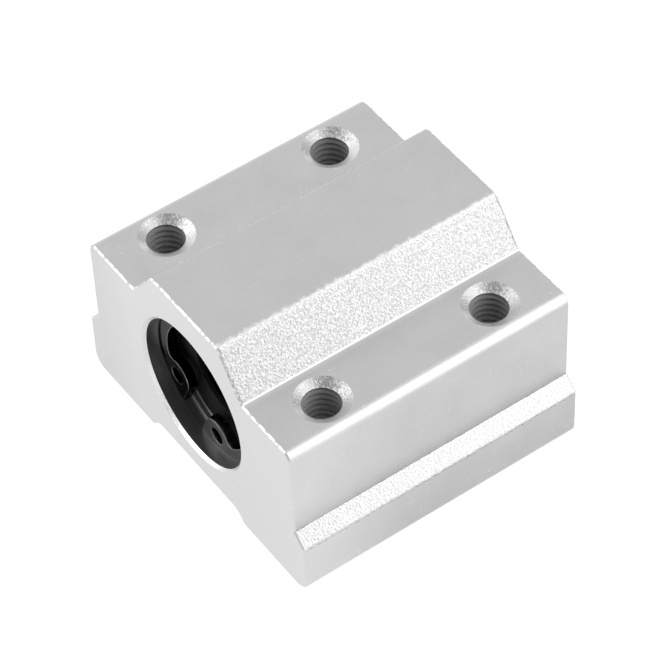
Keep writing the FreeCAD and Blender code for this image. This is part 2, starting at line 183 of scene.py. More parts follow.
class BearingBushingValues(bpy.types.PropertyGroup):
    oxide_colour: colour_value(
        "Black oxide", "Colour of the retaining rings", "#6A6A6B"
    )
    # Painted shade round one of the front ring's lugs
    lug_shade_colour: colour_value(
        "Black grease", "Colour of the grease round one of the front ring's lugs", "#0A0A0A"
    )
    glint_colour: colour_value(
        "Oxide glint", "Tint of the retaining rings where they are seen at a flat angle", "#BFBFBF"
    )
    steel_colour: colour_value(
        "Bearing steel", "Colour of the ground sleeve and the balls", "#C0C0C2"
    )
    # Painted shade: the sleeve's ends and the end rings are darker to tone down their glint deep in the bore
    shaded_end_colour: colour_value(
        "Blued steel", "Colour of the sleeve's ends and the end rings, which are left as hardened", "#5C5C5D"
    )
    resin_colour: colour_value(
        "Cage resin", "Colour of the moulded ball cage", "#2C2C2D"
    )
    rubber_colour: colour_value(
        "Seal rubber", "Colour of the two seals", "#262626"
    )
    oily_rubber_colour: colour_value(
        "Oily rubber", "Colour of the darker patches where oil has soaked into the seals", "#161617"
    )
    sleeve_ground_to: length_value(
        "Ground length", "How far from its middle the sleeve is ground bright", 11.6 * MM
    )
    ball_diameter: length_value(
        "Ball", "Diameter of a ball", 1.588 * MM
    )
    ring_edge: length_value(
        "Ring edge", "Width of the tumbled edges of the retaining rings", 0.06 * MM
    )
    ball_cuts: IntProperty(
        name="Ball cuts",
        description="How many times each edge of the starting cube is cut before it is made round",
        default=5,
    )


class BearingStageValues(bpy.types.PropertyGroup):
    azimuth: angle_value(
        "Azimuth", "Where the camera stands, from the end of the bore towards the right side", 56.407
    )
    elevation: angle_value(
        "Elevation", "How far above the floor the camera looks down from", 48.907
    )
    roll: angle_value(
        "Roll", "How far the camera leans about its own view", -2.713
    )
    distance: length_value(
        "Distance", "From the camera to the point that it is aimed at", 301.97 * MM
    )
    lens: FloatProperty(
        name="Lens",
        description="Focal length of the camera in millimetres",
        unit="CAMERA",
        default=182.0,
    )


# Shared helpers


def add_node(tree, kind, inputs=None, **settings):
    """Adds a node. An input given as a node or a socket is linked, from a node's first output that is in use.
    Any other input is set, and a colour gets its alpha."""
    node = tree.nodes.new(kind)
    for name, value in settings.items():
        setattr(node, name, value)
    for name, value in (inputs or {}).items():
        socket = node.inputs[name]
        if isinstance(value, bpy.types.Node):
            value = next(output for output in value.outputs if output.enabled)
        if isinstance(value, bpy.types.NodeSocket):
            tree.links.new(value, socket)
        else:
            socket.default_value = (*value, 1) if socket.type == "RGBA" else value
    return node


def new_material(name):
    """A material with an empty tree, and that tree."""
    material = bpy.data.materials.new(name)
    material.use_nodes = True
    material.node_tree.nodes.clear()
    return material, material.node_tree


def start_finish(name):
    """A new material, its tree, and the place on the object, which the finish's patterns follow."""
    material, tree = new_material(name)
    return material, tree, add_node(tree, "ShaderNodeTexCoord").outputs["Object"]


def finish_material(material, shader_inputs):
    tree = material.node_tree
    shader = add_node(tree, "ShaderNodeBsdfPrincipled", shader_inputs)
    add_node(tree, "ShaderNodeOutputMaterial", {"Surface": shader})
    return material


def deselect_all():
    bpy.ops.object.select_all(action="DESELECT")


def make_active(piece):
    deselect_all()
    piece.select_set(True)
    bpy.context.view_layer.objects.active = piece


def edit_whole(piece):
    """Opens a piece's mesh with all of it selected."""
    make_active(piece)
    bpy.ops.object.mode_set(mode="EDIT")
    bpy.ops.mesh.select_all(action="SELECT")


def end_edit():
    bpy.ops.object.mode_set(mode="OBJECT")


def apply_modifier(piece, kind, **settings):
    modifier = piece.modifiers.new(kind.lower(), kind)
    for name, value in settings.items():
        setattr(modifier, name, value)
    make_active(piece)
    bpy.ops.object.modifier_apply(modifier=modifier.name)


def copy_of_node(node_name, piece_name):
    """A copy of a CAD node with its loose triangles joined and its flat faces made whole."""
    make_active(frame["nodes"][node_name])
    bpy.ops.object.duplicate()
    piece = bpy.context.active_object
    piece.name = piece_name
    piece.data.name = piece_name
    bpy.ops.object.parent_clear(type="CLEAR_KEEP_TRANSFORM")
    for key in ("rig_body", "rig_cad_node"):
        del piece[key]
    bpy.ops.mesh.customdata_custom_splitnormals_clear()
    edit_whole(piece)
    bpy.ops.mesh.remove_doubles(threshold=WELD)
    bpy.ops.mesh.dissolve_limited(angle_limit=math.radians(0.2))
    end_edit()
    return piece


def smooth(piece):
    """Shades curved faces smoothly and keeps flat faces flat. The limit is under the 30 degrees at which a
    countersink meets a shoulder."""
    make_active(piece)
    bpy.ops.object.shade_smooth_by_angle(angle=math.radians(25))
    apply_modifier(piece, "WEIGHTED_NORMAL", keep_sharp=True, weight=100)


def settle(piece, node_name, *materials):
    """Gives a piece its materials and slot, and lets it stand for its CAD node."""
    piece.data.materials.clear()
    for material in materials:
        piece.data.materials.append(material)
    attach(piece, "root")
    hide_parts(node_name)


# Finishes of the housing


def housing_patterns(tree, place, values):
    """What the extruded finish is drawn from: where a face is, how it faces, and two patterns."""
    bands_top = 10.0 * MM
    end_lean = 0.3
    spot = add_node(tree, "ShaderNodeSeparateXYZ", {"Vector": place})
    normal = add_node(tree, "ShaderNodeNewGeometry").outputs["Normal"]
    facing = add_node(tree, "ShaderNodeSeparateXYZ", {"Vector": normal})
    sideways = add_node(tree, "ShaderNodeMath", {0: facing.outputs["X"]}, operation="ABSOLUTE")
    endways = add_node(tree, "ShaderNodeMath", {0: facing.outputs["Y"]}, operation="ABSOLUTE")
    above_bands = add_node(
        tree,
        "ShaderNodeMath",
        {0: spot.outputs["Z"], 1: bands_top},
        operation="GREATER_THAN",
    )
    off_ends = add_node(tree, "ShaderNodeMath", {0: endways, 1: end_lean}, operation="LESS_THAN")
    patches = add_node(
        tree,
        "ShaderNodeTexNoise",
        {"Vector": place, "Scale": 1 / values.patch_size, "Detail": 3.0},
    )
    scatter = add_node(
        tree,
        "ShaderNodeTexNoise",
        {"Vector": place, "Scale": 1 / values.speck_size, "Detail": 1.0},
    )
    return SimpleNamespace(
        place=place,
        across=spot.outputs["X"],
        along=spot.outputs["Y"],
        height=spot.outputs["Z"],
        rising=facing.outputs["Z"],
        sideways=sideways,
        endways=endways,
        above_bands=above_bands,
        off_ends=off_ends,
        patches=patches,
        scatter=scatter,
    )


def sloping_faces(tree, at):
    """Where the faces slope, which are the crown's two sides and the bands above the feet."""
    feet_top = 4.0 * MM
    fillet_middle = 17.0 * MM
    fillet_reach = 0.62 * MM
    leaning = add_node(
        tree,
        "ShaderNodeMapRange",
        {"Value": at.sideways, "From Min": 0.15, "From Max": 0.6},
        interpolation_type="SMOOTHSTEP",
    )
    upright = add_node(
        tree,
        "ShaderNodeMapRange",
        {"Value": at.sideways, "From Min": 0.90, "From Max": 0.98, "To Min": 1.0, "To Max": 0.0},
        interpolation_type="SMOOTHSTEP",
    )
    above_feet = add_node(tree, "ShaderNodeMath", {0: at.height, 1: feet_top}, operation="GREATER_THAN")
    at_fillet = add_node(
        tree,
        "ShaderNodeMath",
        {0: at.height, 1: fillet_middle, 2: fillet_reach},
        operation="COMPARE",
    )
    off_fillet = add_node(tree, "ShaderNodeMath", {0: 1.0, 1: at_fillet}, operation="SUBTRACT")
    slopes = leaning
    for limit in (upright, above_feet, off_fillet, at.off_ends):
        slopes = add_node(tree, "ShaderNodeMath", {0: slopes, 1: limit}, operation="MULTIPLY")
    return slopes


def grainy_skin(tree, at, values, grain):
    """The coarse sparkling skin of the sloping faces, whose pits are shallower on the side bands."""
    pit_floor = add_node(
        tree,
        "ShaderNodeMapRange",
        {"Value": at.above_bands, "To Min": 0.45, "To Max": 0.0},
    )
    pits = add_node(
        tree,
        "ShaderNodeMapRange",
        {"Value": grain, "From Min": 0.36, "From Max": 0.68, "To Min": pit_floor},
        interpolation_type="SMOOTHSTEP",
    )
    return add_node(
        tree,
        "ShaderNodeMix",
        {0: pits, 6: values.pit_colour, 7: values.grain_colour},
        data_type="RGBA",
    )


def broken_edges(tree, at):
    """Where the ends' edges were broken by hand, which is round the shoulders and the crown."""
    edge_lean = 0.62
    edge_reach = 0.3
    broken = add_node(
        tree,
        "ShaderNodeMath",
        {0: at.endways, 1: edge_lean, 2: edge_reach},
        operation="COMPARE",
    )
    upwards = add_node(tree, "ShaderNodeMapRange", {"Value": at.rising, "From Min": 0.2, "From Max": 0.5})
    for limit in (at.above_bands, upwards):
        broken = add_node(tree, "ShaderNodeMath", {0: broken, 1: limit}, operation="MULTIPLY")
    return broken


def painted_crown_highlight(tree, at):
    """Where a painted highlight lies along the crown's right edge, in a band that frays."""
    fray_width = 1.4 * MM
    crown_from = 21.0 * MM
    fray = add_node(
        tree,
        "ShaderNodeMath",
        {0: at.patches, 1: fray_width, 2: at.across},
        operation="MULTIPLY_ADD",
    )
    crown_highlight = add_node(
        tree,
        "ShaderNodeMapRange",
        {"Value": fray, "From Min": 5.25 * MM, "From Max": 5.95 * MM},
        interpolation_type="SMOOTHSTEP",
    )
    on_top = add_node(tree, "ShaderNodeMath", {0: at.height, 1: crown_from}, operation="GREATER_THAN")
    for limit in (on_top, at.off_ends):
        crown_highlight = add_node(tree, "ShaderNodeMath", {0: crown_highlight, 1: limit}, operation="MULTIPLY")
    return crown_highlight


def painted_shoulder_light(tree, at):
    """Where painted light makes the right shoulder lighter beside the slope."""
    slope_side = 8.0 * MM
    level_reach = 0.05 * MM
    shoulder_light = add_node(
        tree,
        "ShaderNodeMapRange",
        {"Value": at.across, "From Min": 8.5 * MM, "From Max": 9.1 * MM, "To Min": 0.45, "To Max": 0.0},
    )
    right = add_node(tree, "ShaderNodeMath", {0: at.across, 1: slope_side}, operation="GREATER_THAN")
    level = add_node(
        tree,
        "ShaderNodeMath",
        {0: at.height, 1: SHOULDER_HEIGHT, 2: level_reach},
        operation="COMPARE",
    )
    for limit in (level, right, at.off_ends):
        shoulder_light = add_node(tree, "ShaderNodeMath", {0: shoulder_light, 1: limit}, operation="MULTIPLY")
    return shoulder_light


def bright_metal_and_highlights(tree, at, broken):
    """Where bare metal shines, and painted highlights: specks about a tenth of a millimetre wide, which are
    the peaks of the fine scatter, faint stains, an uneven line on the broken edges, and painted highlights on
    the crown's right edge and the right shoulder."""
    specks = add_node(
        tree,
        "ShaderNodeMapRange",
        {"Value": at.scatter, "From Min": 0.69, "From Max": 0.85, "To Max": 0.5},
    )
    stains = add_node(
        tree,
        "ShaderNodeMapRange",
        {"Value": at.patches, "From Min": 0.58, "From Max": 0.75, "To Max": 0.12},
    )
    uneven = add_node(
        tree,
        "ShaderNodeMapRange",
        {"Value": at.patches, "From Min": 0.40, "From Max": 0.60},
    )
    edges = add_node(tree, "ShaderNodeMath", {0: broken, 1: uneven}, operation="MULTIPLY")
    bright = specks
    for part in (edges, stains, painted_crown_highlight(tree, at), painted_shoulder_light(tree, at)):
        bright = add_node(tree, "ShaderNodeMath", {0: bright, 1: part}, operation="MAXIMUM")
    return bright


def anodised_film_and_shade(tree, at, values):
    """The film's colour: a little uneven, with painted shade on the side walls towards the back and on the
    feet.
    """
    cloud = add_node(
        tree,
        "ShaderNodeTexNoise",
        {"Vector": at.place, "Scale": 1 / (4.0 * MM), "Detail": 3.0},
    )
    clouded = add_node(
        tree,
        "ShaderNodeMapRange",
        {"Value": cloud, "From Min": 0.35, "From Max": 0.65, "To Max": 0.12},
    )
    backwards = add_node(
        tree,
        "ShaderNodeMapRange",
        {"Value": at.along, "From Min": -16.0 * MM, "From Max": -1.0 * MM},
        interpolation_type="SMOOTHSTEP",
    )
    downwards = add_node(
        tree,
        "ShaderNodeMapRange",
        {"Value": at.height, "From Min": 0.0, "From Max": 9.0 * MM, "To Min": 0.72, "To Max": 0.32},
    )
    on_side = add_node(tree, "ShaderNodeMapRange", {"Value": at.sideways, "From Min": 0.9, "From Max": 0.98})
    # Painted shade on the side walls, deepest towards the back and low down, with the uneven film added to it
    film = backwards
    for part in (downwards, on_side):
        film = add_node(tree, "ShaderNodeMath", {0: film, 1: part}, operation="MULTIPLY")
    film = add_node(tree, "ShaderNodeMath", {0: film, 1: clouded}, operation="ADD")
    return add_node(
        tree,
        "ShaderNodeMix",
        {0: film, 6: values.colour, 7: values.film_and_shade_colour},
        data_type="RGBA",
    )


def sawn_end(tree, at, values):
    """The colour of the two ends, which is duller towards the left wall."""
    leftwards = add_node(
        tree,
        "ShaderNodeMapRange",
        {"Value": at.across, "From Min": -9.0 * MM, "From Max": -15.0 * MM, "To Max": 0.2},
    )
    return add_node(
        tree,
        "ShaderNodeMix",
        {0: leftwards, 6: values.sawn_colour, 7: values.film_and_shade_colour},
        data_type="RGBA",
    )


def dirt_and_shade_lines(tree, at, slopes):
    """Dirt and painted shade, in ragged lines along both edges of the side bands and at the slopes' ends: the
    line along each band's upper edge is painted shade in the crease, and the one at the slopes' ends is a
    painted shadow line. Each line has the way that it is measured in, how far it trembles, where it lies and
    half its width."""
    from_middle = add_node(tree, "ShaderNodeMath", {0: at.along}, operation="ABSOLUTE")
    lines = []
    for measured, tremble, middle, reach in (
        (at.height, 0.12 * MM, 7.495 * MM, 0.04 * MM),
        (at.height, 0.35 * MM, 6.15 * MM, 0.04 * MM),
        (from_middle, 0.20 * MM, 14.92 * MM, 0.07 * MM),
    ):
        ragged = add_node(
            tree,
            "ShaderNodeMath",
            {0: at.scatter, 1: tremble, 2: measured},
            operation="MULTIPLY_ADD",
        )
        lines.append(add_node(tree, "ShaderNodeMath", {0: ragged, 1: middle, 2: reach}, operation="COMPARE"))
    upper, lower, slope_end = lines
    for limit in (at.above_bands, slopes):
        slope_end = add_node(tree, "ShaderNodeMath", {0: slope_end, 1: limit}, operation="MULTIPLY")
    patchy = add_node(
        tree,
        "ShaderNodeMapRange",
        {"Value": at.patches, "From Min": 0.4, "From Max": 0.6, "To Min": 0.1, "To Max": 0.6},
    )
    dirt_and_shade = upper
    for operation, part in (
        ("MAXIMUM", lower),
        ("MULTIPLY", at.off_ends),
        ("MAXIMUM", slope_end),
        ("MULTIPLY", patchy),
    ):
        dirt_and_shade = add_node(tree, "ShaderNodeMath", {0: dirt_and_shade, 1: part}, operation=operation)
    return dirt_and_shade


def bright_foot(tree, at, slopes):
    """Where the slopes meet the shoulders, in a thin line of painted highlight."""
    foot_middle = 17.66 * MM
    foot_reach = 0.06 * MM
    foot = add_node(
        tree,
        "ShaderNodeMath",
        {0: at.height, 1: foot_middle, 2: foot_reach},
        operation="COMPARE",
    )
    return add_node(tree, "ShaderNodeMath", {0: foot, 1: slopes}, operation="MULTIPLY")


def extruded_aluminium(values):
    """Clear anodised aluminium: an even satin grey with sparse bright specks, a coarse sparkling skin on the
    crown's slopes and the side bands, and ragged bright edges where the ends were sawn and broken."""
    material, tree, place = start_finish("clear_anodised_extruded_aluminium")
    at = housing_patterns(tree, place, values)
    slopes = sloping_faces(tree, at)
    broken = broken_edges(tree, at)
    grain = add_node(
        tree,
        "ShaderNodeTexNoise",
        {"Vector": place, "Scale": 1 / values.grain_size, "Detail": 2.0, "Roughness": 0.6},
    )
    at_end = add_node(tree, "ShaderNodeMapRange", {"Value": at.endways, "From Min": 0.8, "From Max": 0.95})

    # Each layer covers the ones before it, as far as its first value says
    # Besides real marks, the layers hold painted shade on the side walls, the feet, the band creases and the
    # slopes' ends, and painted highlights on the crown's right edge, the right shoulder and the slopes' feet
    colour = anodised_film_and_shade(tree, at, values)
    for cover, paint in (
        (at_end, sawn_end(tree, at, values)),
        (broken, values.nick_colour),
        (bright_metal_and_highlights(tree, at, broken), values.bright_metal_and_highlight_colour),
        (slopes, grainy_skin(tree, at, values, grain)),
        (dirt_and_shade_lines(tree, at, slopes), values.dirt_and_shade_colour),
        (bright_foot(tree, at, slopes), values.bright_metal_and_highlight_colour),
    ):
        colour = add_node(tree, "ShaderNodeMix", {0: cover, 6: colour, 7: paint}, data_type="RGBA")

    # The die leaves a faint draw along the extrusion, and the slopes' grains stand up from their skin
    drawn = add_node(
        tree,
        "ShaderNodeMapping",
        {"Vector": place, "Scale": (1 / (0.15 * MM), 1 / (6.0 * MM), 1 / (0.15 * MM))},
    )
    lines = add_node(tree, "ShaderNodeTexNoise", {"Vector": drawn, "Scale": 1.0, "Detail": 2.0})
    draw = add_node(tree, "ShaderNodeBump", {"Height": lines, "Strength": 0.05, "Distance": 0.02 * MM})
    rise = add_node(tree, "ShaderNodeMapRange", {"Value": slopes, "To Max": 0.6})
    relief = add_node(
        tree,
        "ShaderNodeBump",
        {"Height": grain, "Strength": rise, "Distance": 0.08 * MM, "Normal": draw},
    )
    gloss = add_node(tree, "ShaderNodeMapRange", {"Value": at.patches, "To Min": 0.33, "To Max": 0.41})
    return finish_material(
        material,
        {"Base Color": colour, "Metallic": 1.0, "Roughness": gloss, "Normal": relief},
    )


def turned_mouth_and_highlight(tree, place, values):
    """The colour of the chamfers at the bore's mouths, which are plain, with a painted highlight at lower
    left.
    """
    spot = add_node(tree, "ShaderNodeSeparateXYZ", {"Vector": place})
    low = add_node(
        tree,
        "ShaderNodeMapRange",
        {"Value": spot.outputs["Z"], "From Min": 9.0 * MM, "From Max": 5.0 * MM},
    )
    left = add_node(
        tree,
        "ShaderNodeMapRange",
        {"Value": spot.outputs["X"], "From Min": 4.5 * MM, "From Max": 0.5 * MM},
    )
    # The painted highlight at lower left of each mouth
    worn = add_node(tree, "ShaderNodeMath", {0: low, 1: left}, operation="MULTIPLY")
    return add_node(
        tree,
        "ShaderNodeMix",
        {0: worn, 6: values.sawn_colour, 7: values.bright_metal_and_highlight_colour},
        data_type="RGBA",
    )


def countersunk_aluminium(values):
    """Aluminium cut by a chattering countersink: small facets at random, with painted light on those that
    face the front and painted shade on those that face the back, and a painted highlight on the right and
    front of each hole."""
    endways_share = 0.6
    brightening = -0.29
    highlight_facing = (-0.83, 0.55, 0.0)
    material, tree, place = start_finish("countersunk_aluminium")
    grain = add_node(
        tree,
        "ShaderNodeTexNoise",
        {"Vector": place, "Scale": 1 / values.grain_size, "Detail": 2.0, "Roughness": 0.6},
    )
    normal = add_node(tree, "ShaderNodeNewGeometry").outputs["Normal"]
    facing = add_node(tree, "ShaderNodeSeparateXYZ", {"Vector": normal})
    # How far a facet faces the front and right, which the painted light follows
    side = add_node(
        tree,
        "ShaderNodeMath",
        {0: facing.outputs["Y"], 1: endways_share, 2: facing.outputs["X"]},
        operation="MULTIPLY_ADD",
    )
    grain_and_light_side = add_node(
        tree,
        "ShaderNodeMath",
        {0: side, 1: brightening, 2: grain},
        operation="MULTIPLY_ADD",
    )
    facets = add_node(
        tree,
        "ShaderNodeMapRange",
        {"Value": grain_and_light_side, "From Min": 0.40, "From Max": 0.62},
        interpolation_type="SMOOTHSTEP",
    )
    # The painted highlight on each hole's right and front
    turned = add_node(tree, "ShaderNodeVectorMath", {0: normal, 1: highlight_facing}, operation="DOT_PRODUCT")
    near_side_highlight = add_node(
        tree,
        "ShaderNodeMapRange",
        {"Value": turned, "From Min": 0.02, "From Max": 0.28},
        interpolation_type="SMOOTHSTEP",
    )
    endways = add_node(tree, "ShaderNodeMath", {0: facing.outputs["Y"]}, operation="ABSOLUTE")
    at_mouth = add_node(tree, "ShaderNodeMapRange", {"Value": endways, "From Min": 0.55, "From Max": 0.65})
    colour = values.facet_colour
    for cover, paint in (
        (facets, values.bright_metal_and_highlight_colour),
        (near_side_highlight, values.bare_and_lit_colour),
        (at_mouth, turned_mouth_and_highlight(tree, place, values)),
    ):
        colour = add_node(tree, "ShaderNodeMix", {0: cover, 6: colour, 7: paint}, data_type="RGBA")
    rise = add_node(tree, "ShaderNodeMapRange", {"Value": near_side_highlight, "To Min": 0.5, "To Max": 0.05})
    relief = add_node(tree, "ShaderNodeBump", {"Height": grain, "Strength": rise, "Distance": 0.08 * MM})
    return finish_material(
        material,
        {"Base Color": colour, "Metallic": 1.0, "Roughness": 0.36, "Normal": relief},
    )


def tapped_aluminium(values):
    """Aluminium drilled and tapped: painted darker round the mouth and lighter further down, and with painted
    shade on the threads' upward flanks, which evens out their shading so that they hardly show."""
    material, tree, place = start_finish("tapped_aluminium")
    height = add_node(tree, "ShaderNodeSeparateXYZ", {"Vector": place}).outputs["Z"]
    # Darker round the mouth and painted lighter further down, against the hole's own shade
    oily = add_node(
        tree,
        "ShaderNodeMapRange",
        {"Value": height, "From Min": 12.0 * MM, "From Max": 17.2 * MM},
    )
    normal = add_node(tree, "ShaderNodeNewGeometry").outputs["Normal"]
    upwards = add_node(tree, "ShaderNodeSeparateXYZ", {"Vector": normal}).outputs["Z"]
    # Painted shade on the upward flanks, which catch the most light
    upward_shade = add_node(
        tree,
        "ShaderNodeMapRange",
        {"Value": upwards, "From Min": -0.1, "From Max": 0.6, "To Max": 0.55},
        interpolation_type="SMOOTHSTEP",
    )
    colour = values.bare_and_lit_colour
    for cover, paint in ((oily, values.hole_mouth_colour), (upward_shade, values.painted_shade_colour)):
        colour = add_node(tree, "ShaderNodeMix", {0: cover, 6: colour, 7: paint}, data_type="RGBA")
    smears = add_node(
        tree,
        "ShaderNodeTexNoise",
        {"Vector": place, "Scale": 1 / (0.8 * MM), "Detail": 3.0},
    )
    gloss = add_node(tree, "ShaderNodeMapRange", {"Value": smears, "To Min": 0.42, "To Max": 0.58})
    return finish_material(material, {"Base Color": colour, "Metallic": 0.2, "Roughness": gloss})


def reamed_aluminium(values):
    """Aluminium bored and reamed to size: bright, with fine rings round the bore, drawn 0.12 mm wide so that
    they show, and painted shade along the grooves' edges, which turns to a lighter painted line low down."""
    groove_edge = 13.36 * MM
    line_reach = 0.08 * MM
    material, tree, place = start_finish("reamed_aluminium")
    stretched = add_node(
        tree,
        "ShaderNodeMapping",
        {"Vector": place, "Scale": (1 / (4.0 * MM), 1 / (0.12 * MM), 1 / (4.0 * MM))},
    )
    rings = add_node(tree, "ShaderNodeTexNoise", {"Vector": stretched, "Scale": 1.0, "Detail": 3.0})
    spot = add_node(tree, "ShaderNodeSeparateXYZ", {"Vector": place})
    from_middle = add_node(tree, "ShaderNodeMath", {0: spot.outputs["Y"]}, operation="ABSOLUTE")
    at_groove = add_node(
        tree,
        "ShaderNodeMath",
        {0: from_middle, 1: groove_edge, 2: line_reach},
        operation="COMPARE",
    )
    oily = add_node(
        tree,
        "ShaderNodeMapRange",
        {"Value": spot.outputs["Z"], "From Min": 6.0 * MM, "From Max": 9.0 * MM},
    )
    # Painted shade along the groove's edge, which gives way low down to a lighter painted line
    line = add_node(
        tree,
        "ShaderNodeMix",
        {0: oily, 6: values.colour, 7: values.painted_shade_colour},
        data_type="RGBA",
    )
    colour = values.pit_colour
    for cover, paint in ((rings, values.colour), (at_groove, line)):
        colour = add_node(tree, "ShaderNodeMix", {0: cover, 6: colour, 7: paint}, data_type="RGBA")
    relief = add_node(tree, "ShaderNodeBump", {"Height": rings, "Strength": 0.2, "Distance": 0.03 * MM})
    return finish_material(
        material,
        {"Base Color": colour, "Metallic": 1.0, "Roughness": 0.3, "Normal": relief},
    )


# Finishes of the parts inside


def black_oxide_steel(values):
    """Spring steel stamped, tumbled and blacked: dark and semi-gloss, worn to bare steel along its edges,
    with painted shade round one of the front ring's lugs."""
    material, tree, place = start_finish("black_oxide_spring_steel")
    mottle = add_node(
        tree,
        "ShaderNodeTexNoise",
        {"Vector": place, "Scale": 1 / (0.6 * MM), "Detail": 4.0},
    )
    reach = add_node(tree, "ShaderNodeVectorMath", {0: place, 1: SHADED_LUG}, operation="DISTANCE")
    # Painted shade round one lug
    lug_shade = add_node(
        tree,
        "ShaderNodeMapRange",
        {"Value": reach, "From Min": 2.0 * MM, "From Max": 3.8 * MM, "To Min": 1.0, "To Max": 0.0},
        interpolation_type="SMOOTHSTEP",
    )
    wear = add_node(tree, "ShaderNodeAttribute", attribute_name="edge_wear").outputs["Fac"]
    worn = add_node(tree, "ShaderNodeMath", {0: wear, 1: mottle}, operation="MULTIPLY")
    colour = values.oxide_colour
    for cover, paint in ((lug_shade, values.lug_shade_colour), (worn, values.steel_colour)):
        colour = add_node(tree, "ShaderNodeMix", {0: cover, 6: colour, 7: paint}, data_type="RGBA")
    gloss = add_node(tree, "ShaderNodeMapRange", {"Value": mottle, "To Min": 0.14, "To Max": 0.28})
    relief = add_node(tree, "ShaderNodeBump", {"Height": mottle, "Strength": 0.15, "Distance": 0.03 * MM})
    return finish_material(
        material,
        {
            "Base Color": colour,
            "Metallic": 1.0,
            "Roughness": gloss,
            "Specular Tint": values.glint_colour,
            "Normal": relief,
        },
    )


def ground_steel(name, colour):
    """Steel turned or ground round its axis: fine lines round it, drawn 0.1 mm wide so that they show."""
    material, tree, place = start_finish(name)
    stretched = add_node(
        tree,
        "ShaderNodeMapping",
        {"Vector": place, "Scale": (1 / (3.0 * MM), 1 / (0.1 * MM), 1 / (3.0 * MM))},
    )
    lines = add_node(tree, "ShaderNodeTexNoise", {"Vector": stretched, "Scale": 1.0, "Detail": 2.0})
    gloss = add_node(tree, "ShaderNodeMapRange", {"Value": lines, "To Min": 0.16, "To Max": 0.34})
    relief = add_node(tree, "ShaderNodeBump", {"Height": lines, "Strength": 0.12, "Distance": 0.02 * MM})
    return finish_material(
        material,
        {"Base Color": colour, "Metallic": 1.0, "Roughness": gloss, "Normal": relief},
    )


def polished_ball_steel(values):
    """Chrome steel lapped to a mirror, under a thin film of grease that dulls it in patches."""
    material, tree, place = start_finish("lapped_chrome_steel")
    grease = add_node(
        tree,
        "ShaderNodeTexNoise",
        {"Vector": place, "Scale": 1 / (1.2 * MM), "Detail": 2.0},
    )
    gloss = add_node(
        tree,
        "ShaderNodeMapRange",
        {"Value": grease, "From Min": 0.35, "From Max": 0.65, "To Min": 0.06, "To Max": 0.22},
    )
    return finish_material(
        material,
        {"Base Color": values.steel_colour, "Metallic": 1.0, "Roughness": gloss},
    )


def moulded_resin(values):
    """Acetal moulded in black: a faint sheen over an eroded mould's texture, drawn 0.15 mm wide to show."""
    material, tree, place = start_finish("moulded_black_acetal")
    texture = add_node(
        tree,
        "ShaderNodeTexNoise",
        {"Vector": place, "Scale": 1 / (0.15 * MM), "Detail": 2.0},
    )
    gloss = add_node(tree, "ShaderNodeMapRange", {"Value": texture, "To Min": 0.40, "To Max": 0.56})
    relief = add_node(tree, "ShaderNodeBump", {"Height": texture, "Strength": 0.15, "Distance": 0.03 * MM})
    return finish_material(
        material,
        {"Base Color": values.resin_colour, "Roughness": gloss, "IOR": 1.48, "Normal": relief},
    )


def seal_rubber(values):
    """Nitrile rubber: almost without shine, and darker in soft patches where oil has soaked in."""
    material, tree, place = start_finish("nitrile_rubber")
    oily = add_node(
        tree,
        "ShaderNodeTexNoise",
        {"Vector": place, "Scale": 1 / (1.5 * MM), "Detail": 4.0},
    )
    colour = add_node(
        tree,
        "ShaderNodeMix",
        {0: oily, 6: values.rubber_colour, 7: values.oily_rubber_colour},
        data_type="RGBA",
    )
    gloss = add_node(tree, "ShaderNodeMapRange", {"Value": oily, "To Min": 0.65, "To Max": 0.85})
    return finish_material(
        material,
        {"Base Color": colour, "Roughness": gloss, "Specular IOR Level": 0.15},
    )


# Pieces


